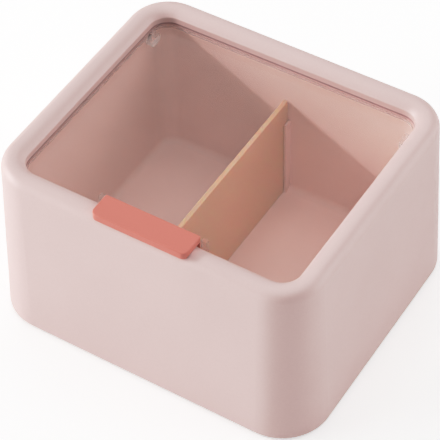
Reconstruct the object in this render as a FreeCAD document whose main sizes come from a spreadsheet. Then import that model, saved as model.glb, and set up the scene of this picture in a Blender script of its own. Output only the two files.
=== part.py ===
import FreeCAD, Part
import math
import os
import Sketcher

# Cotton pad box: a drafted shell with a wide rounded rim, an inner tray with a divider, a base cover
# on four pads, and a clear lid that turns on its own pivot pins at the back.
# Millimetres. Origin in the middle of the surface it stands on; front is -Y, right is +X, up is +Z.

DIMENSIONS = {
    # outer shell, measured at the sharp corner of the rim before rounding
    "rim_width": 140.0,
    "rim_depth": 121.0,
    "shell_height": 80.0,
    "draft_angle": 2.6,
    "corner_radius": 17.4,
    "shell_wall": 2.4,
    "rim_round": 4.0,
    "base_round": 1.0,
    # rim, and the lip that turns down into the opening
    "rim_band": 9.4,
    "rim_plate": 3.2,
    "rim_crown": 0.3,
    "lip_radius": 8.0,
    "lip_margin": 0.6,
    "lip_edge_round": 0.5,
    "lip_wall": 2.4,
    "lip_drop": 8.2,
    # inner tray
    "tray_wall": 2.0,
    "tray_floor": 2.0,
    "tray_floor_round": 3.0,
    "lap_rise": 1.5,
    "lap_wall": 1.0,
    "lap_clearance": 0.1,
    # divider and its guide ribs
    "divider_offset": -1.0,
    "divider_wall": 2.0,
    "divider_drop": 23.3,
    "divider_clearance": 0.3,
    "divider_relief": 0.5,
    "divider_edge_round": 0.4,
    "guide_clearance": 0.2,
    "guide_wall": 1.0,
    "guide_depth": 3.6,
    "guide_drop": 10.7,
    # base cover and feet
    "base_plate": 2.0,
    "base_clearance": 0.3,
    "fence_wall": 1.6,
    "fence_rise": 3.5,
    "fence_clearance": 0.2,
    "rib_wall": 2.0,
    "rib_rise": 2.0,
    "rib_pitch": 34.0,
    "foot_diameter": 10.0,
    "foot_stand": 1.0,
    "foot_recess": 0.8,
    "foot_inset": 16.0,
    "foot_edge": 0.4,
    "foot_clearance": 0.1,
    # lid
    "lid_plate": 2.0,
    "lid_recess": 5.2,
    "lid_gap": 0.5,
    "lid_back_gap": 0.9,
    "lid_edge_round": 0.5,
    # hinge
    "hinge_setback": 9.6,
    "pin_diameter": 3.0,
    "pin_clearance": 0.05,
    "pin_engagement": 1.6,
    "ear_wall": 3.0,
    "ear_length": 6.0,
    "ear_below_axis": 2.6,
    "ear_round": 1.5,
    # handle: riser and tongue of the lid, and the tab that caps them
    "handle_offset": 0.7,
    "riser_wall": 1.8,
    "cheek_width": 2.5,
    "cheek_gap": 0.3,
    "tongue_plate": 1.0,
    "rest_gap": 0.1,
    "tab_width": 42.0,
    "tab_overhang": 0.2,
    "tab_overlap": 1.0,
    "tab_plate": 1.5,
    "tab_side": 1.95,
    "tab_skirt": 0.5,
    "tab_skirt_wall": 1.65,
    "tab_leg": 3.0,
    "tab_front_radius": 2.6,
    "tab_back_radius": 0.8,
    "tab_edge_round": 0.5,
    "tab_clearance": 0.05,
}

doc = FreeCAD.newDocument("cotton_pad_box")
sheet = doc.addObject("Spreadsheet::Sheet", "dims")
for row, (alias, value) in enumerate(DIMENSIONS.items(), start=1):
    sheet.set(f"A{row}", alias)
    sheet.set(f"B{row}", str(value))
    sheet.setAlias(f"B{row}", alias)
doc.recompute()


def dims(text):
    """Turn each <name> in an expression into the sheet cell of that dimension."""
    return text.replace("<", "dims.").replace(">", "")


def number(expression):
    """What an expression comes to, in millimetres or degrees."""
    result = sheet.evalExpression(expression)
    return float(getattr(result, "Value", result))


# Sizes and heights that several pieces share, each written once as an expression.
FLARE = dims("(<shell_height> * tan(<draft_angle> * 1 deg))")
BASE_WIDTH = dims(f"(<rim_width> + 2 * {FLARE})")
BASE_DEPTH = dims(f"(<rim_depth> + 2 * {FLARE})")
BASE_RADIUS = dims(f"(<corner_radius> + {FLARE})")
OPENING_WIDTH = dims("(<rim_width> - 2 * <rim_band>)")
OPENING_DEPTH = dims("(<rim_depth> - 2 * <rim_band>)")
LIP_REACH = dims("(<rim_band> - <rim_round> - <rim_crown>)")
LIP_FALL = dims("(<rim_plate> - <lip_margin>)")
LIP_ROUND = f"(({LIP_REACH} ^ 2 + {LIP_FALL} ^ 2) / (2 * {LIP_FALL}))"
LIP_INSET = f"({LIP_ROUND} - {LIP_REACH})"
RIM_TOP = dims("(<foot_stand> + <shell_height>)")
AXIS_HEIGHT = dims(f"({RIM_TOP} - <lip_drop>)")
AXIS_Y = dims(f"({OPENING_DEPTH} / 2 - <hinge_setback>)")
BORE_RADIUS = dims("(<pin_diameter> / 2 + <pin_clearance>)")
TRAY_BASE = dims("(<foot_stand> + <base_plate> + <rib_rise>)")
TRAY_HEIGHT = f"({AXIS_HEIGHT} - {TRAY_BASE})"
TRAY_WIDTH = dims(f"({OPENING_WIDTH} + 2 * <tray_wall>)")
TRAY_DEPTH = dims(f"({OPENING_DEPTH} + 2 * <tray_wall>)")
TRAY_RADIUS = dims("(<lip_radius> + <tray_wall>)")
DIVIDER_BASE = dims(f"({TRAY_BASE} + <tray_floor>)")
DIVIDER_HEIGHT = dims(f"({RIM_TOP} - <divider_drop> - {DIVIDER_BASE})")
FOOT_X = dims(f"({BASE_WIDTH} / 2 - <foot_inset>)")
FOOT_Y = dims(f"({BASE_DEPTH} / 2 - <foot_inset>)")
LID_BASE = dims(f"({RIM_TOP} - <lid_recess> - <lid_plate>)")
LID_WIDTH = dims(f"({OPENING_WIDTH} - 2 * <lid_gap>)")
LID_FRONT = dims(f"({OPENING_DEPTH} / 2 - <lid_gap>)")
LID_BACK = dims(f"({OPENING_DEPTH} / 2 - <lid_back_gap>)")
TONGUE_TOP = dims("(<rest_gap> + <tongue_plate>)")
TONGUE_WIDTH = dims("(<tab_width> - 2 * (<tab_side> + <tab_clearance>))")
TAB_BACK = dims(f"({LID_FRONT} - <tab_overlap>)")
TAB_FRONT = dims("(<rim_depth> / 2 + <tab_overhang>)")
TAB_HOLLOW_FRONT = dims(f"({TAB_FRONT} - <tab_skirt_wall>)")
TAB_TOP = dims(f"({TONGUE_TOP} + <tab_plate>)")

LINE_START, LINE_END = 1, 2
ORIGIN = (-1, 1)


def new_body(name, height="0", across="0"):
    """A body whose own origin stands at a height above, and a distance right of, the common origin."""
    body = doc.addObject("PartDesign::Body", name)
    body.Label = name
    body.setExpression("Placement.Base.z", height)
    body.setExpression("Placement.Base.x", across)
    return body


def sketch_on(body, name, role="XY_Plane", offset="0"):
    """An empty sketch on one of the body's own origin planes, moved along that plane's normal."""
    plane = next(item for item in body.Origin.OriginFeatures if item.Role == role)
    sketch = body.newObject("Sketcher::SketchObject", f"{body.Name}_{name}")
    sketch.AttachmentSupport = [(plane, "")]
    sketch.MapMode = "FlatFace"
    sketch.setExpression("AttachmentOffset.Base.z", offset)
    return sketch


def bind(sketch, kind, references, expression):
    """Add a dimensional constraint whose value follows an expression."""
    index = sketch.addConstraint(Sketcher.Constraint(kind, *references, number(expression)))
    sketch.setExpression(f"Constraints[{index}]", expression)


def bind_from_origin(sketch, kind, point, expression):
    """Hold a point at a signed distance from the sketch's origin."""
    if number(expression) < 0:
        bind(sketch, kind, (*point, *ORIGIN), f"-({expression})")
    else:
        bind(sketch, kind, (*ORIGIN, *point), expression)


def add_rectangle(sketch, left, low, width, height):
    """A plain rectangle from its left and low edges, its width and its height."""
    x0, y0 = number(left), number(low)
    x1, y1 = x0 + number(width), y0 + number(height)
    corners = [FreeCAD.Vector(x, y, 0) for x, y in ((x0, y0), (x1, y0), (x1, y1), (x0, y1))]
    first = sketch.GeometryCount
    for i in range(4):
        sketch.addGeometry(Part.LineSegment(corners[i], corners[(i + 1) % 4]), False)
    for i in range(4):
        joined = first + (i + 1) % 4
        sketch.addConstraint(Sketcher.Constraint("Coincident", first + i, LINE_END, joined, LINE_START))
        sketch.addConstraint(Sketcher.Constraint("Horizontal" if i % 2 == 0 else "Vertical", first + i))
    bind(sketch, "DistanceX", (first, LINE_START, first, LINE_END), width)
    bind(sketch, "DistanceY", (first + 1, LINE_START, first + 1, LINE_END), height)
    bind_from_origin(sketch, "DistanceX", (first, LINE_START), left)
    bind_from_origin(sketch, "DistanceY", (first, LINE_START), low)


def add_rounded_rectangle(sketch, width, height, radius, low=None, centre="0"):
    """A rectangle with round corners, across a centre line, standing on low or centred on the origin."""
    low = low or f"(-{height} / 2)"
    r = number(radius)
    x0 = number(centre) - number(width) / 2
    y0 = number(low)
    x1, y1 = x0 + number(width), y0 + number(height)
    vector = FreeCAD.Vector
    lines = (
        (vector(x0 + r, y0, 0), vector(x1 - r, y0, 0)),
        (vector(x1, y0 + r, 0), vector(x1, y1 - r, 0)),
        (vector(x1 - r, y1, 0), vector(x0 + r, y1, 0)),
        (vector(x0, y1 - r, 0), vector(x0, y0 + r, 0)),
    )
    arc_centres = (
        vector(x1 - r, y0 + r, 0),
        vector(x1 - r, y1 - r, 0),
        vector(x0 + r, y1 - r, 0),
        vector(x0 + r, y0 + r, 0),
    )
    up = vector(0, 0, 1)
    quarter = math.pi / 2
    first = sketch.GeometryCount
    for start, end in lines:
        sketch.addGeometry(Part.LineSegment(start, end), False)
    for i, middle in enumerate(arc_centres):
        circle = Part.Circle(middle, up, r)
        sketch.addGeometry(Part.ArcOfCircle(circle, (i - 1) * quarter, i * quarter), False)
    for i in range(4):
        line, arc, following = first + i, first + 4 + i, first + (i + 1) % 4
        sketch.addConstraint(Sketcher.Constraint("Tangent", line, LINE_END, arc, LINE_START))
        sketch.addConstraint(Sketcher.Constraint("Tangent", arc, LINE_END, following, LINE_START))
        sketch.addConstraint(Sketcher.Constraint("Horizontal" if i % 2 == 0 else "Vertical", line))
    for i in range(1, 4):
        sketch.addConstraint(Sketcher.Constraint("Equal", first + 4, first + 4 + i))
    bind(sketch, "Radius", (first + 4,), radius)
    bind(sketch, "DistanceX", (first + 3, LINE_START, first + 1, LINE_START), width)
    bind(sketch, "DistanceY", (first, LINE_START, first + 2, LINE_START), height)
    bind_from_origin(sketch, "DistanceX", (first + 3, LINE_START), f"({centre} - {width} / 2)")
    bind_from_origin(sketch, "DistanceY", (first, LINE_START), low)


def add_circle(sketch, x, y, radius):
    """A circle at a bound place."""
    middle = FreeCAD.Vector(number(x), number(y), 0)
    circle = sketch.addGeometry(Part.Circle(middle, FreeCAD.Vector(0, 0, 1), number(radius)), False)
    bind(sketch, "Radius", (circle,), radius)
    bind_from_origin(sketch, "DistanceX", (circle, 3), x)
    bind_from_origin(sketch, "DistanceY", (circle, 3), y)


def pad(body, sketch, length, taper=None):
    """Add material from the sketch along its plane's normal."""
    feature = body.newObject("PartDesign::Pad", f"{sketch.Name}_pad")
    feature.Profile = sketch
    feature.setExpression("Length", length)
    if taper:
        feature.setExpression("TaperAngle", taper)
    doc.recompute()
    return feature


def pocket(body, sketch, length, taper=None, both_ways=False):
    """Cut from the sketch along its plane's normal, and make sure that something was removed."""
    before = body.Shape.Volume
    feature = body.newObject("PartDesign::Pocket", f"{sketch.Name}_pocket")
    feature.Profile = sketch
    feature.setExpression("Length", length)
    if both_ways:
        feature.SideType = "Symmetric"
    else:
        feature.Reversed = True
    if taper:
        feature.setExpression("TaperAngle", taper)
    doc.recompute()
    if body.Shape.Volume > before - 1e-3:
        raise RuntimeError(f"{feature.Name} removed nothing")
    return feature


def fillet(body, name, test, radius):
    """Round every edge of the body that passes the test."""
    base = body.Tip
    chosen = [f"Edge{i}" for i, edge in enumerate(base.Shape.Edges, start=1) if test(edge.BoundBox)]
    if not chosen:
        raise RuntimeError(f"{body.Name}_{name} found no edge")
    feature = body.newObject("PartDesign::Fillet", f"{body.Name}_{name}")
    feature.Base = (base, chosen)
    feature.setExpression("Radius", radius)
    doc.recompute()
    return feature


def near(value, target):
    """True for two lengths that are the same to a hundredth."""
    return abs(value - target) < 0.01


def upright(box):
    """True for the box of an edge that rises far more than it runs."""
    return box.ZLength > 2 * max(box.XLength, box.YLength) and box.ZLength > 1.0


def level_at(box, height):
    """True for the box of an edge that lies at one height."""
    return near(box.ZMin, height) and near(box.ZMax, height)


def outside(box, half_width, half_depth):
    """True for the box of an edge that reaches beyond a centred rectangle."""
    reach_x = max(abs(box.XMin), abs(box.XMax))
    reach_y = max(abs(box.YMin), abs(box.YMax))
    return reach_x > half_width + 0.01 or reach_y > half_depth + 0.01


def make_outer_shell():
    """Casing: drafted walls, a rim that falls in an arc to the lip, and the upper half of the hinge bores.

    The arc is the outer part of a fillet on a mouth cut smaller than the opening, so it ends in a low crease.
    """
    body = new_body("outer_shell", dims("<foot_stand>"))
    height = number(dims("<shell_height>"))
    half_width = number(OPENING_WIDTH) / 2
    half_depth = number(OPENING_DEPTH) / 2
    narrowing = dims("-<draft_angle>")

    outline = sketch_on(body, "outline")
    add_rounded_rectangle(outline, BASE_WIDTH, BASE_DEPTH, BASE_RADIUS)
    pad(body, outline, dims("<shell_height>"), taper=narrowing)
    mouth = sketch_on(body, "mouth", offset=dims(f"(<shell_height> - 2 * {LIP_ROUND})"))
    add_rounded_rectangle(
        mouth,
        f"({OPENING_WIDTH} - 2 * {LIP_INSET})",
        f"({OPENING_DEPTH} - 2 * {LIP_INSET})",
        dims(f"(<lip_radius> - {LIP_INSET})"),
    )
    pocket(body, mouth, f"(2 * {LIP_ROUND})")
    fillet(
        body,
        "lip_round",
        lambda box: level_at(box, height) and not outside(box, half_width, half_depth),
        LIP_ROUND,
    )
    hollow = sketch_on(body, "hollow")
    add_rounded_rectangle(
        hollow,
        dims(f"({BASE_WIDTH} - 2 * <shell_wall>)"),
        dims(f"({BASE_DEPTH} - 2 * <shell_wall>)"),
        dims(f"({BASE_RADIUS} - <shell_wall>)"),
    )
    pocket(body, hollow, dims("(<shell_height> - <rim_plate>)"), taper=narrowing)

    opening = sketch_on(body, "opening")
    add_rounded_rectangle(opening, OPENING_WIDTH, OPENING_DEPTH, dims("<lip_radius>"))
    pocket(body, opening, dims("<shell_height>"))

    lip = sketch_on(body, "lip", offset=dims("(<shell_height> - <lip_drop>)"))
    add_rounded_rectangle(lip, OPENING_WIDTH, OPENING_DEPTH, dims("<lip_radius>"))
    add_rounded_rectangle(
        lip,
        dims(f"({OPENING_WIDTH} + 2 * <lip_wall>)"),
        dims(f"({OPENING_DEPTH} + 2 * <lip_wall>)"),
        dims("(<lip_radius> + <lip_wall>)"),
    )
    pad(body, lip, dims("(<lip_drop> - <rim_plate>)"))

    rebate = sketch_on(body, "rebate", offset=dims("(<shell_height> - <lip_drop>)"))
    inset = dims("(<tray_wall> - <lap_wall> - <lap_clearance>)")
    for reach in (inset, dims("(<lip_wall> + <lap_clearance>)")):
        add_rounded_rectangle(
            rebate,
            f"({OPENING_WIDTH} + 2 * {reach})",
            f"({OPENING_DEPTH} + 2 * {reach})",
            dims(f"(<lip_radius> + {reach})"),
        )
    pocket(body, rebate, dims("(<lap_rise> + <lap_clearance>)"))

    bores = sketch_on(body, "bores", "YZ_Plane")
    add_circle(bores, AXIS_Y, dims("(<shell_height> - <lip_drop>)"), BORE_RADIUS)
    pocket(body, bores, dims(f"({OPENING_WIDTH} + 2 * <lip_wall>)"), both_ways=True)

    crown_x = half_width + number(LIP_REACH)
    crown_y = half_depth + number(LIP_REACH)
    fillet(
        body,
        "rim_round",
        lambda box: level_at(box, height) and outside(box, crown_x, crown_y),
        dims("<rim_round>"),
    )
    crease = height - number(LIP_FALL)
    fillet(
        body,
        "lip_edge",
        lambda box: level_at(box, crease) and not outside(box, half_width, half_depth),
        dims("<lip_edge_round>"),
    )
    wall_x = number(BASE_WIDTH) / 2 - number(dims("<shell_wall>"))
    wall_y = number(BASE_DEPTH) / 2 - number(dims("<shell_wall>"))
    fillet(
        body,
        "base_round",
        lambda box: level_at(box, 0) and outside(box, wall_x, wall_y),
        dims("<base_round>"),
    )
    return body


def make_inner_tray():
    """Inner box with a lap joint to the lip, guide ribs and the lower half of the hinge bores."""
    body = new_body("inner_tray", TRAY_BASE)
    outline = sketch_on(body, "outline")
    add_rounded_rectangle(outline, TRAY_WIDTH, TRAY_DEPTH, TRAY_RADIUS)
    pad(body, outline, TRAY_HEIGHT)

    lap = sketch_on(body, "lap", offset=TRAY_HEIGHT)
    add_rounded_rectangle(lap, TRAY_WIDTH, TRAY_DEPTH, TRAY_RADIUS)
    add_rounded_rectangle(
        lap,
        dims(f"({TRAY_WIDTH} - 2 * <lap_wall>)"),
        dims(f"({TRAY_DEPTH} - 2 * <lap_wall>)"),
        dims(f"({TRAY_RADIUS} - <lap_wall>)"),
    )
    pad(body, lap, dims("<lap_rise>"))

    inside = sketch_on(body, "inside", offset=dims("<tray_floor>"))
    add_rounded_rectangle(inside, OPENING_WIDTH, OPENING_DEPTH, dims("<lip_radius>"))
    pocket(body, inside, f"{TRAY_HEIGHT}")
    floor = number(dims("<tray_floor>"))
    fillet(body, "floor_round", lambda box: level_at(box, floor), dims("<tray_floor_round>"))

    guides = sketch_on(body, "guides", offset=dims("(<tray_floor> / 2)"))
    reach = dims("(<divider_wall> / 2 + <guide_clearance>)")
    for left in (
        dims(f"(<divider_offset> - {reach} - <guide_wall>)"),
        dims(f"(<divider_offset> + {reach})"),
    ):
        for low in (
            dims(f"(-{OPENING_DEPTH} / 2 - <tray_wall> / 2)"),
            dims(f"({OPENING_DEPTH} / 2 - <guide_depth>)"),
        ):
            depth = dims("(<guide_depth> + <tray_wall> / 2)")
            add_rectangle(guides, left, low, dims("<guide_wall>"), depth)
    pad(body, guides, dims(f"(<tray_floor> / 2 + {DIVIDER_HEIGHT} - <guide_drop>)"))

    bores = sketch_on(body, "bores", "YZ_Plane")
    add_circle(bores, AXIS_Y, TRAY_HEIGHT, BORE_RADIUS)
    pocket(body, bores, TRAY_WIDTH, both_ways=True)
    return body


def make_divider():
    """Partition that drops between the guide ribs onto the tray floor."""
    body = new_body("divider", DIVIDER_BASE, dims("<divider_offset>"))
    depth = dims(f"({OPENING_DEPTH} - 2 * <divider_clearance>)")
    face = sketch_on(body, "face", "YZ_Plane", dims("(-<divider_wall> / 2)"))
    add_rectangle(face, f"(-{depth} / 2)", "0", depth, DIVIDER_HEIGHT)
    pad(body, face, dims("<divider_wall>"))
    fillet(
        body,
        "lower_corners",
        lambda box: near(box.XLength, number(dims("<divider_wall>"))) and level_at(box, 0),
        dims("(<tray_floor_round> + <divider_relief>)"),
    )
    top = number(DIVIDER_HEIGHT)
    fillet(
        body,
        "top_edges",
        lambda box: level_at(box, top) and box.YLength > 1.0,
        dims("<divider_edge_round>"),
    )
    return body


def make_base_cover():
    """Plate that closes the shell from below, with a fence round the tray and ribs under its floor."""
    body = new_body("base_cover", dims("<foot_stand>"))
    plate = sketch_on(body, "plate")
    inset = dims("(<shell_wall> + <base_clearance>)")
    add_rounded_rectangle(
        plate,
        f"({BASE_WIDTH} - 2 * {inset})",
        f"({BASE_DEPTH} - 2 * {inset})",
        f"({BASE_RADIUS} - {inset})",
    )
    pad(body, plate, dims("<base_plate>"))

    fence = sketch_on(body, "fence", offset=dims("(<base_plate> / 2)"))
    for reach in (dims("<fence_clearance>"), dims("(<fence_clearance> + <fence_wall>)")):
        add_rounded_rectangle(
            fence,
            f"({TRAY_WIDTH} + 2 * {reach})",
            f"({TRAY_DEPTH} + 2 * {reach})",
            f"({TRAY_RADIUS} + {reach})",
        )
    pad(body, fence, dims("(<base_plate> / 2 + <fence_rise>)"))

    ribs = sketch_on(body, "ribs", offset=dims("(<base_plate> / 2)"))
    length = dims(f"({TRAY_WIDTH} + 2 * <fence_clearance> + <fence_wall>)")
    for row in (-1, 0, 1):
        low = dims(f"({row} * <rib_pitch> - <rib_wall> / 2)")
        add_rectangle(ribs, f"(-{length} / 2)", low, length, dims("<rib_wall>"))
    pad(body, ribs, dims("(<base_plate> / 2 + <rib_rise>)"))

    recesses = sketch_on(body, "recesses")
    for side_x, side_y in FOOT_PLACES.values():
        radius = dims("(<foot_diameter> / 2 + <foot_clearance>)")
        add_circle(recesses, f"({side_x} * {FOOT_X})", f"({side_y} * {FOOT_Y})", radius)
    pocket(body, recesses, dims("<foot_recess>"))
    return body


FOOT_PLACES = {
    "foot_front_left": (-1, -1),
    "foot_front_right": (1, -1),
    "foot_back_left": (-1, 1),
    "foot_back_right": (1, 1),
}


def make_foot(name, side_x, side_y):
    """Round non-slip pad, half sunk in its recess."""
    body = new_body(name, across=f"({side_x} * {FOOT_X})")
    body.setExpression("Placement.Base.y", f"({side_y} * {FOOT_Y})")
    disc = sketch_on(body, "disc")
    add_circle(disc, "0", "0", dims("(<foot_diameter> / 2)"))
    pad(body, disc, dims("(<foot_stand> + <foot_recess>)"))
    fillet(body, "edge", lambda box: level_at(box, 0), dims("<foot_edge>"))
    return body


def make_lid_panel():
    """Clear plate with hinge ears, pivot pins, a riser along the front and a tongue over the rim."""
    body = new_body("lid_panel", LID_BASE)
    plate = sketch_on(body, "plate")
    depth = f"({LID_FRONT} + {LID_BACK})"
    radius = dims("(<lip_radius> - <lid_gap>)")
    add_rounded_rectangle(plate, LID_WIDTH, depth, radius, low=f"(-{LID_FRONT})")
    pad(body, plate, dims("<lid_plate>"))
    top = number(dims("<lid_plate>"))
    fillet(body, "top_edge", lambda box: level_at(box, top), dims("<lid_edge_round>"))

    rim_level = f"({RIM_TOP} - {LID_BASE})"
    root = dims("(<lid_plate> / 2)")
    sill = dims(f"({rim_level} - <tab_leg> - <rest_gap>)")
    cheek_reach = dims("(<tab_width> / 2 + <cheek_gap>)")
    riser_width = dims(f"(2 * ({cheek_reach} + <cheek_width>))")
    riser_left = dims(f"(<handle_offset> - {riser_width} / 2)")
    tongue_left = dims(f"(<handle_offset> - {TONGUE_WIDTH} / 2)")
    riser = sketch_on(body, "riser", offset=root)
    add_rectangle(riser, riser_left, f"(-{LID_FRONT})", riser_width, dims("<riser_wall>"))
    pad(body, riser, f"({sill} - {root})")
    crest = sketch_on(body, "crest", offset=sill)
    for left, width in (
        (riser_left, dims("<cheek_width>")),
        (tongue_left, TONGUE_WIDTH),
        (dims(f"(<handle_offset> + {cheek_reach})"), dims("<cheek_width>")),
    ):
        add_rectangle(crest, left, f"(-{LID_FRONT})", width, dims("<riser_wall>"))
    pad(body, crest, f"({rim_level} + {TONGUE_TOP} - {sill})")

    tongue = sketch_on(body, "tongue", offset=dims(f"({rim_level} + <rest_gap>)"))
    tongue_front = dims(f"({TAB_HOLLOW_FRONT} - <tab_clearance>)")
    tongue_length = dims(f"({tongue_front} - {LID_FRONT} + <riser_wall> / 2)")
    add_rectangle(tongue, tongue_left, f"(-{tongue_front})", TONGUE_WIDTH, tongue_length)
    pad(body, tongue, dims("<tongue_plate>"))

    axis_level = f"({AXIS_HEIGHT} - {LID_BASE})"
    ear = sketch_on(body, "ear", "YZ_Plane", dims(f"({LID_WIDTH} / 2 - <ear_wall>)"))
    ear_low = dims(f"({axis_level} - <ear_below_axis>)")
    ear_height = dims(f"(<lid_plate> - <lid_edge_round> - {ear_low})")
    add_rounded_rectangle(ear, dims("<ear_length>"), ear_height, dims("<ear_round>"), ear_low, AXIS_Y)
    ear_pad = pad(body, ear, dims("<ear_wall>"))
    pin = sketch_on(body, "pin", "YZ_Plane", f"({LID_WIDTH} / 2)")
    add_circle(pin, AXIS_Y, axis_level, dims("(<pin_diameter> / 2)"))
    pin_pad = pad(body, pin, dims("(<lid_gap> + <pin_engagement>)"))
    mirrored = body.newObject("PartDesign::Mirrored", "lid_panel_other_side")
    mirrored.Originals = [ear_pad, pin_pad]
    plane = next(item for item in body.Origin.OriginFeatures if item.Role == "YZ_Plane")
    mirrored.MirrorPlane = (plane, [""])
    body.Tip = mirrored
    doc.recompute()
    return body


def make_handle_tab():
    """Cap pressed over the tongue, with a low skirt in front and a leg at each end behind."""
    body = new_body("handle_tab", RIM_TOP, dims("<handle_offset>"))
    left = dims("(-<tab_width> / 2)")
    under = dims("(-<tab_skirt>)")
    outline = sketch_on(body, "outline", offset=under)
    tab_depth = f"({TAB_FRONT} - {TAB_BACK})"
    add_rectangle(outline, left, f"(-{TAB_FRONT})", dims("<tab_width>"), tab_depth)
    pad(body, outline, dims(f"({TAB_TOP} + <tab_skirt>)"))

    half_slot = dims("(<tab_width> / 2 - <tab_side>)")
    legs = sketch_on(body, "legs", offset=dims("(-<tab_leg>)"))
    for leg_left in (left, half_slot):
        add_rectangle(legs, leg_left, f"(-{LID_FRONT})", dims("<tab_side>"), dims("<tab_overlap>"))
    pad(body, legs, dims("<tab_leg>"))

    front_y = -number(TAB_FRONT)
    back_y = -number(TAB_BACK)
    half_width = number(dims("<tab_width>")) / 2
    top = number(TAB_TOP)
    fillet(
        body,
        "front_corners",
        lambda box: upright(box) and near(box.YMin, front_y),
        dims("<tab_front_radius>"),
    )
    fillet(
        body,
        "back_corners",
        lambda box: upright(box) and near(box.YMin, back_y) and near(abs(box.XMin), half_width),
        dims("<tab_back_radius>"),
    )
    fillet(body, "top_edge", lambda box: level_at(box, top), dims("<tab_edge_round>"))

    relief = sketch_on(body, "relief", offset=under)
    relief_depth = f"({TAB_HOLLOW_FRONT} - {LID_FRONT})"
    add_rectangle(relief, left, f"(-{TAB_HOLLOW_FRONT})", dims("<tab_width>"), relief_depth)
    pocket(body, relief, dims("(<tab_skirt> + <rest_gap>)"))
    slot = sketch_on(body, "slot", offset=under)
    slot_depth = f"({TAB_HOLLOW_FRONT} - {TAB_BACK})"
    add_rectangle(slot, f"(-{half_slot})", f"(-{TAB_HOLLOW_FRONT})", f"(2 * {half_slot})", slot_depth)
    pocket(body, slot, dims(f"(<tab_skirt> + {TONGUE_TOP})"))
    return body


bodies = [make_outer_shell(), make_inner_tray(), make_divider(), make_base_cover()]
for foot_name, (foot_side_x, foot_side_y) in FOOT_PLACES.items():
    bodies.append(make_foot(foot_name, foot_side_x, foot_side_y))
bodies += [make_lid_panel(), make_handle_tab()]
doc.recompute()

for item in doc.Objects:
    if "Invalid" in item.State or "Error" in item.State:
        raise RuntimeError(f"{item.Name} failed: {item.State}")
for body in bodies:
    if body.Shape.isNull() or not body.Shape.isValid() or len(body.Shape.Solids) != 1:
        raise RuntimeError(f"{body.Label} has no single valid solid")

os.makedirs("parts", exist_ok=True)
for body in bodies:
    body.Shape.exportStep(f"parts/{body.Label}.step")
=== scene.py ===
import math

import bpy
from mathutils import Matrix, Vector

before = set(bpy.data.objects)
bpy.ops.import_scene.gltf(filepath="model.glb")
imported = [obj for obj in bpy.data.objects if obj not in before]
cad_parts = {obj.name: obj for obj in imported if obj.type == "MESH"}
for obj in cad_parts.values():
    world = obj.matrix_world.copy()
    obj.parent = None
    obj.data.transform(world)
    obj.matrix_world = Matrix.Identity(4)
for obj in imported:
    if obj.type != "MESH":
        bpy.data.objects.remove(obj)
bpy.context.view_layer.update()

# Looks of a cotton pad box: satin pink plastic, a clear acrylic lid with a coral tab, and soft feet.
# Metres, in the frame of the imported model: front is -Y, right is +X, up is +Z.

MM = 0.001

# Camera, as the photograph was taken
IMAGE_SIDE = 440
FOCAL_PIXELS = 2074.5
CAMERA_AZIMUTH = math.radians(32.63)
CAMERA_ELEVATION = math.radians(47.08)
CAMERA_ROLL = math.radians(-1.514)
CAMERA_DISTANCE = 829.57 * MM
CAMERA_AIM = Vector((0.0, 0.0, 41.13 * MM))
FRAME_RIGHT_PIXELS = 3.48
FRAME_DOWN_PIXELS = -12.39
SENSOR_WIDTH = 36.0

# Camera's response: scene light against shown light, both linear; TONE_WHITE is the light shown as white
TONE_WHITE = 1.4
TONE_CURVE = ((0.06, 0.04), (0.15, 0.115), (0.34, 0.315), (0.54, 0.55),
              (0.79, 0.74), (1.0, 0.86), (1.2, 0.95))

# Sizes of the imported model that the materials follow
LID_TOP = 75.8 * MM
LID_UNDERSIDE = 73.8 * MM
ACRYLIC_IOR = 1.49
OPENING_HALF_WIDTH = 60.6 * MM
OPENING_HALF_DEPTH = 51.1 * MM


# Shader helpers

def add(tree, kind, inputs=(), **settings):
    """Adds a node; inputs maps a socket's name to a value or to the socket that feeds it."""
    node = tree.nodes.new("ShaderNode" + kind)
    for name, value in settings.items():
        setattr(node, name, value)
    for name, value in dict(inputs).items():
        if isinstance(value, bpy.types.NodeSocket):
            tree.links.new(value, node.inputs[name])
        else:
            node.inputs[name].default_value = value
    return node


def place(tree):
    """Position on the piece, in metres, which stays with it as it moves."""
    return add(tree, "TexCoord").outputs["Object"]


def noise(tree, size, detail=2.0, roughness=0.5):
    """Noise from 0 to 1 whose features are about size metres across."""
    inputs = {"Vector": place(tree), "Scale": 1.0 / size, "Detail": detail, "Roughness": roughness}
    return add(tree, "TexNoise", inputs).outputs["Fac"]


def remap(tree, value, low, high, to_low, to_high):
    inputs = {"Value": value, "From Min": low, "From Max": high, "To Min": to_low, "To Max": to_high}
    return add(tree, "MapRange", inputs).outputs["Result"]


def ramp(tree, value, stops):
    """Colour from a list of (position, linear RGB)."""
    node = add(tree, "ValToRGB", {"Fac": value})
    elements = node.color_ramp.elements
    while len(elements) < len(stops):
        elements.new(0.5)
    for element, (position, colour) in zip(elements, stops):
        element.position = position
        element.color = (*colour, 1.0)
    return node.outputs["Color"]


def bump(tree, height, depth, below=None):
    """Bump of the given depth in metres, on top of another bump."""
    inputs = {"Height": height, "Distance": depth}
    if below is not None:
        inputs["Normal"] = below
    return add(tree, "Bump", inputs).outputs["Normal"]


def new_material(name):
    material = bpy.data.materials.new(name)
    material.use_nodes = True
    tree = material.node_tree
    tree.nodes.clear()
    return material, tree


def finish_material(tree, shader):
    add(tree, "OutputMaterial", {"Surface": shader})


def shade(colour, factor):
    return tuple(channel * factor for channel in colour)


# Materials

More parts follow.
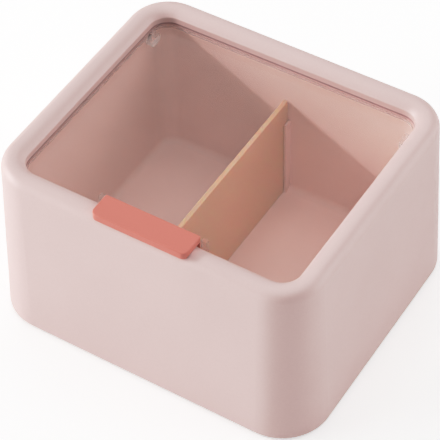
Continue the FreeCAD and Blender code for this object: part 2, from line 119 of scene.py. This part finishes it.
def wear_and_highlight_edges(tree, radius, spread):
    """1 where an edge sharper than the radius shows wear and a painted highlight, 0 on flat faces, broken
    up by noise.
    """
    rounded = add(tree, "Bevel", {"Radius": radius}, samples=4).outputs["Normal"]
    facing = add(tree, "NewGeometry").outputs["Normal"]
    same = add(tree, "VectorMath", {0: rounded, 1: facing}, operation="DOT_PRODUCT").outputs["Value"]
    edge = remap(tree, same, 0.99, 0.8, 0.0, 1.0)
    patch = remap(tree, noise(tree, size=spread, detail=4.0), 0.42, 0.62, 0.15, 1.0)
    return add(tree, "Math", {0: edge, 1: patch}, operation="MULTIPLY").outputs["Value"]


def lid_gap_shade(tree):
    """1 on the line round the opening that the top of the lid leaves on the lip, for painted shade in the
    slot round the lid's edge.
    """
    axes = add(tree, "SeparateXYZ", {"Vector": place(tree)})
    height = axes.outputs["Z"]
    mask = remap(tree, height, LID_TOP, LID_TOP + 0.2 * MM, 1.0, 0.0)
    for axis, limit in (("X", OPENING_HALF_WIDTH), ("Y", OPENING_HALF_DEPTH)):
        reach = add(tree, "Math", {0: axes.outputs[axis]}, operation="ABSOLUTE").outputs["Value"]
        inside = remap(tree, reach, limit + 0.5 * MM, limit + 1.0 * MM, 1.0, 0.0)
        mask = add(tree, "Math", {0: mask, 1: inside}, operation="MULTIPLY").outputs["Value"]
    above = remap(tree, height, LID_TOP - 0.8 * MM, LID_TOP - 0.6 * MM, 0.0, 1.0)
    return add(tree, "Math", {0: mask, 1: above}, operation="MULTIPLY").outputs["Value"]


def moulded_plastic(name, colour, roughness, grain_depth, glow=None, dust=None):
    """Satin injection-moulded plastic: spark-eroded grain, faint flow marks, and shinier edges, paler with
    wear and a painted highlight.

    glow is the distance, per colour, that light travels inside the wall, for thin walls that shine through;
    dust is the colour of the painted shade on the line that the lid leaves, in the slot round the lid's
    edge.
    """
    material, tree = new_material(name)
    cloud = noise(tree, size=38 * MM, detail=3.0)
    speck = noise(tree, size=0.9 * MM, detail=2.0)
    wear_and_highlight = wear_and_highlight_edges(tree, radius=0.7 * MM, spread=5 * MM)
    tint = ramp(tree, cloud, [(0.3, shade(colour, 0.98)), (0.7, shade(colour, 1.015))])
    fine_tint = ramp(tree, speck, [(0.25, (0.975, 0.972, 0.972)), (0.75, (1.0, 1.0, 1.0))])
    even = add(tree, "MixRGB", {"Fac": 1.0, "Color1": tint, "Color2": fine_tint}, blend_type="MULTIPLY")
    # Paler edges: wear, and a painted highlight along the edges
    pale_highlight = tuple(channel + (1.0 - channel) * 0.3 for channel in colour)
    highlight_lift = remap(tree, wear_and_highlight, 0.0, 1.0, 0.0, 0.6)
    rubbed_and_highlit = add(tree, "MixRGB", {"Fac": highlight_lift, "Color1": even.outputs["Color"], "Color2": (*pale_highlight, 1.0)})
    skin = rubbed_and_highlit.outputs["Color"]
    # Painted shade: a dark line on the lip, in the slot round the lid's edge
    if dust is not None:
        gap_shaded = {"Fac": lid_gap_shade(tree), "Color1": skin, "Color2": (*dust, 1.0)}
        skin = add(tree, "MixRGB", gap_shaded).outputs["Color"]
    sheen = noise(tree, size=14 * MM, detail=4.0)
    gloss = remap(tree, sheen, 0.25, 0.75, roughness - 0.04, roughness + 0.04)
    polish = remap(tree, wear_and_highlight, 0.0, 1.0, 1.0, 0.7)
    worn_gloss = add(tree, "Math", {0: gloss, 1: polish}, operation="MULTIPLY").outputs["Value"]
    flow = bump(tree, noise(tree, size=30 * MM), 0.03 * MM)
    grain = bump(tree, noise(tree, size=0.28 * MM, detail=3.0, roughness=0.6), grain_depth, flow)
    inputs = {"Base Color": skin, "Roughness": worn_gloss, "Normal": grain, "IOR": 1.5}
    if glow is not None:
        inputs["Subsurface Weight"] = 1.0
        inputs["Subsurface Radius"] = glow
        inputs["Subsurface Scale"] = 1.0
    shader = add(tree, "BsdfPrincipled", inputs)
    finish_material(tree, shader.outputs["BSDF"])
    return material


def soft_rubber(name, colour):
    """Matte elastomer with a dusty bloom and a fine pebbled skin."""
    material, tree = new_material(name)
    dust = noise(tree, size=2.2 * MM, detail=5.0, roughness=0.6)
    tint = ramp(tree, dust, [(0.3, shade(colour, 0.86)), (0.7, shade(colour, 1.06))])
    gloss = remap(tree, dust, 0.3, 0.7, 0.72, 0.9)
    skin = bump(tree, noise(tree, size=0.22 * MM, detail=2.0), 0.03 * MM)
    shader = add(tree, "BsdfPrincipled", {"Base Color": tint, "Roughness": gloss, "Normal": skin})
    finish_material(tree, shader.outputs["BSDF"])
    return material


def clear_acrylic(name):
    """Polished clear sheet, thin enough to show what is behind it unbent. Its edges and ears are satin, the
    edges tinted pink-grey as painted shade and reflection of the pink box, the ears near white as painted
    glints.

    Lamps shine straight through it, so what it covers stays lit.
    """
    material, tree = new_material(name)
    smudge = noise(tree, size=16 * MM, detail=4.0, roughness=0.6)
    gloss = remap(tree, smudge, 0.45, 0.75, 0.01, 0.05)
    coords = add(tree, "TexCoord")
    height = add(tree, "SeparateXYZ", {"Vector": coords.outputs["Object"]}).outputs["Z"]
    tilt = add(tree, "SeparateXYZ", {"Vector": coords.outputs["Normal"]}).outputs["Z"]
    steep = add(tree, "Math", {0: tilt}, operation="ABSOLUTE").outputs["Value"]
    side = remap(tree, steep, 0.75, 0.45, 0.0, 1.0)
    ear = remap(tree, height, LID_UNDERSIDE, LID_UNDERSIDE - 0.3 * MM, 0.0, 1.0)
    riser = remap(tree, height, LID_TOP, LID_TOP + 0.3 * MM, 0.0, 1.0)
    edge = add(tree, "Math", {0: side, 1: ear}, operation="MAXIMUM").outputs["Value"]
    satin = remap(tree, edge, 0.0, 1.0, 0.0, 0.3)
    finish = add(tree, "Math", {0: gloss, 1: satin}, operation="MAXIMUM").outputs["Value"]
    tint = ramp(tree, smudge, [(0.35, (0.99, 0.99, 0.985)), (0.75, (0.98, 0.975, 0.97))])
    wave = bump(tree, noise(tree, size=22 * MM), 0.004 * MM)
    # Rays go through unbent, so a face mirrors as little from inside the sheet as from outside
    inside = add(tree, "NewGeometry").outputs["Backfacing"]
    bending = remap(tree, inside, 0.0, 1.0, ACRYLIC_IOR, 1.0 / ACRYLIC_IOR)
    mirror = add(tree, "Fresnel", {"IOR": bending, "Normal": wave}).outputs["Fac"]
    clear = add(tree, "BsdfTransparent", {"Color": tint})
    shine = add(tree, "BsdfGlossy", {"Roughness": finish, "Normal": wave})
    sheet = add(tree, "MixShader", {0: mirror, 1: clear.outputs["BSDF"], 2: shine.outputs["BSDF"]})
    # Painted light: pink-grey on the edges for the shade and pink reflection they take from the box, near
    # white on the ears for glints
    painted_edge_and_glint_tint = ramp(tree, ear, [(0.0, (0.76, 0.66, 0.66)), (1.0, (0.97, 0.93, 0.93))])
    cut = add(tree, "BsdfPrincipled", {"Base Color": painted_edge_and_glint_tint, "Roughness": finish})
    most = remap(tree, riser, 0.0, 1.0, 0.3, 0.08)
    share = add(tree, "Math", {0: edge, 1: most}, operation="MULTIPLY").outputs["Value"]
    body = add(tree, "MixShader", {0: share, 1: sheet.outputs["Shader"], 2: cut.outputs["BSDF"]})
    light = add(tree, "BsdfTransparent", {"Color": (0.985, 0.985, 0.985, 1.0)})
    path = add(tree, "LightPath")
    mixed = add(tree, "MixShader", {0: path.outputs["Is Shadow Ray"], 1: body.outputs["Shader"],
                                    2: light.outputs["BSDF"]})
    finish_material(tree, mixed.outputs["Shader"])
    return material


# Where the lamps' light on the floor begins and ends to fade, in metres, and the glow that makes up for it
LIT_FLOOR_RADIUS = 0.35
DARK_FLOOR_RADIUS = 1.6
LIT_FLOOR_GLOW = 0.45
DARK_FLOOR_GLOW = 1.4


def floor_material():
    """Pale paper, lit from below for the lens alone, and more so far out where the lamps don't reach.

    It clears to white like that without lighting the box.
    """
    material, tree = new_material("floor_paper")
    cloud = noise(tree, size=240 * MM, detail=2.0)
    tint = ramp(tree, cloud, [(0.3, (0.91, 0.905, 0.90)), (0.7, (0.93, 0.925, 0.92))])
    paper = add(tree, "BsdfPrincipled", {"Base Color": tint, "Roughness": 0.9, "Specular IOR Level": 0.1})
    far = add(tree, "VectorMath", {0: place(tree)}, operation="LENGTH").outputs["Value"]
    strength = remap(tree, far, LIT_FLOOR_RADIUS, DARK_FLOOR_RADIUS, LIT_FLOOR_GLOW, DARK_FLOOR_GLOW)
    lamp = add(tree, "Emission", {"Strength": strength})
    path = add(tree, "LightPath")
    seen = add(tree, "MixShader", {0: path.outputs["Is Camera Ray"], 2: lamp.outputs["Emission"]})
    both = add(tree, "AddShader", {0: paper.outputs["BSDF"], 1: seen.outputs["Shader"]})
    finish_material(tree, both.outputs["Shader"])
    return material


SHELL_PINK = (0.80, 0.60, 0.578)
# Partly the tray's own pink, partly painted light: paler than the shell, standing in for light that the
# box's contents bounce onto its walls
TRAY_PINK_AND_PAINTED_BOUNCE = (0.95, 0.725, 0.68)
# Colour of the painted shade in the slot round the lid's edge
LID_GAP_SHADE = (0.48, 0.31, 0.315)
DIVIDER_PEACH = (0.77, 0.53, 0.37)
CORAL = (0.725, 0.253, 0.205)
FOOT_GREY = (0.62, 0.60, 0.58)


def dress_nodes():
    """Gives every CAD node its finished material."""
    divider_glow = (2.0 * MM, 0.8 * MM, 0.4 * MM)
    finishes = {
        "outer_shell": moulded_plastic("shell_satin", SHELL_PINK, 0.42, 0.004 * MM, dust=LID_GAP_SHADE),
        "inner_tray": moulded_plastic("tray_satin", TRAY_PINK_AND_PAINTED_BOUNCE, 0.45, 0.0015 * MM),
        "divider": moulded_plastic("divider_satin", DIVIDER_PEACH, 0.45, 0.0015 * MM, divider_glow),
        "base_cover": moulded_plastic("base_matte", shade(SHELL_PINK, 0.97), 0.55, 0.012 * MM),
        "lid_panel": clear_acrylic("clear_acrylic"),
        "handle_tab": moulded_plastic("coral_satin", CORAL, 0.38, 0.006 * MM),
    }
    rubber = soft_rubber("soft_rubber", FOOT_GREY)
    for name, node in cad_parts.items():
        material = rubber if name.startswith("foot_") else finishes[name]
        node.data.materials.clear()
        node.data.materials.append(material)


# Studio, in metres and watts

FLOOR_HALF_SIDE = 6.0
KEY_DISTANCE = 3.0
KEY_SIZE = 0.06
SOFT_BOX_DISTANCE = 1.8
SOFT_BOX_SIZE = 1.4
SURROUNDINGS_LIGHT = 0.2
BACKGROUND_WHITE = 1.3


def make_floor():
    side = FLOOR_HALF_SIDE
    mesh = bpy.data.meshes.new("floor")
    corners = [(-side, -side, 0.0), (side, -side, 0.0), (side, side, 0.0), (-side, side, 0.0)]
    mesh.from_pydata(corners, [], [(0, 1, 2, 3)])
    mesh.materials.append(floor_material())
    floor = bpy.data.objects.new("floor", mesh)
    bpy.context.scene.collection.objects.link(floor)


def add_soft_light(name, direction, power, distance=SOFT_BOX_DISTANCE, size=SOFT_BOX_SIZE):
    """A square light that faces the object from the given direction, out of the camera's sight."""
    lamp = bpy.data.lights.new(name, "AREA")
    lamp.shape = "SQUARE"
    lamp.size = size
    lamp.energy = power
    obj = bpy.data.objects.new(name, lamp)
    towards = Vector(direction).normalized()
    obj.location = CAMERA_AIM + towards * distance
    obj.rotation_mode = "QUATERNION"
    obj.rotation_quaternion = towards.to_track_quat("Z", "Y")
    obj.visible_camera = False
    bpy.context.scene.collection.objects.link(obj)


def make_lights():
    """A small key from the left and soft boxes round the rest, darker on the camera's side.

    The lid mirrors the back box into the lens, as an even, faint veil.
    """
    add_soft_light("key", (-1.0, -0.35, 0.55), 30.0, KEY_DISTANCE, KEY_SIZE)
    add_soft_light("front_left", (-0.88, -0.6, 0.1), 33.0)
    add_soft_light("right", (0.95, 0.25, 0.08), 6.0)
    add_soft_light("back_right", (0.75, 0.65, 0.5), 10.0)
    add_soft_light("top", (0.1, 0.0, 0.97), 7.5)
    add_soft_light("back", (-0.33, 0.56, 0.75), 5.2)
    add_soft_light("fill", (0.35, -0.5, 0.8), 1.2)


def make_world():
    """Dim surroundings that show white behind the object."""
    world = bpy.data.worlds.new("studio")
    world.use_nodes = True
    tree = world.node_tree
    tree.nodes.clear()
    dim = add(tree, "Background", {"Strength": SURROUNDINGS_LIGHT})
    white = add(tree, "Background", {"Strength": BACKGROUND_WHITE})
    for background in (dim, white):
        background.inputs["Color"].default_value = (1.0, 1.0, 1.0, 1.0)
    path = add(tree, "LightPath")
    mixed = add(tree, "MixShader", {0: path.outputs["Is Camera Ray"], 1: dim.outputs["Background"],
                                    2: white.outputs["Background"]})
    add(tree, "OutputWorld", {"Surface": mixed.outputs["Shader"]})
    bpy.context.scene.world = world


def make_camera():
    """Camera with the focal length, aim, roll and framing offset of the photograph."""
    towards = Vector((math.sin(CAMERA_AZIMUTH) * math.cos(CAMERA_ELEVATION),
                      -math.cos(CAMERA_AZIMUTH) * math.cos(CAMERA_ELEVATION),
                      math.sin(CAMERA_ELEVATION)))
    level_right = Vector((0.0, 0.0, 1.0)).cross(towards).normalized()
    level_up = towards.cross(level_right)
    right = level_right * math.cos(CAMERA_ROLL) + level_up * math.sin(CAMERA_ROLL)
    up = level_up * math.cos(CAMERA_ROLL) - level_right * math.sin(CAMERA_ROLL)
    data = bpy.data.cameras.new("camera")
    data.sensor_width = SENSOR_WIDTH
    data.lens = FOCAL_PIXELS / IMAGE_SIDE * SENSOR_WIDTH
    data.shift_x = -FRAME_RIGHT_PIXELS / IMAGE_SIDE
    data.shift_y = FRAME_DOWN_PIXELS / IMAGE_SIDE
    camera = bpy.data.objects.new("camera", data)
    axes = Matrix((right, up, towards)).transposed().to_4x4()
    camera.matrix_world = Matrix.Translation(CAMERA_AIM + towards * CAMERA_DISTANCE) @ axes
    bpy.context.scene.collection.objects.link(camera)
    bpy.context.scene.camera = camera


def set_tones():
    """Standard colours through a camera's response: a soft shoulder and a slightly firm toe."""
    view = bpy.context.scene.view_settings
    view.view_transform = "Standard"
    view.look = "None"
    view.exposure = 0.0
    view.gamma = 1.0
    view.use_curve_mapping = True
    mapping = view.curve_mapping
    mapping.white_level = (TONE_WHITE, TONE_WHITE, TONE_WHITE)
    curve = mapping.curves[3]
    for light, shown in TONE_CURVE:
        curve.points.new(light / TONE_WHITE, shown)
    mapping.update()


dress_nodes()
make_floor()
make_lights()
make_world()
make_camera()
set_tones()
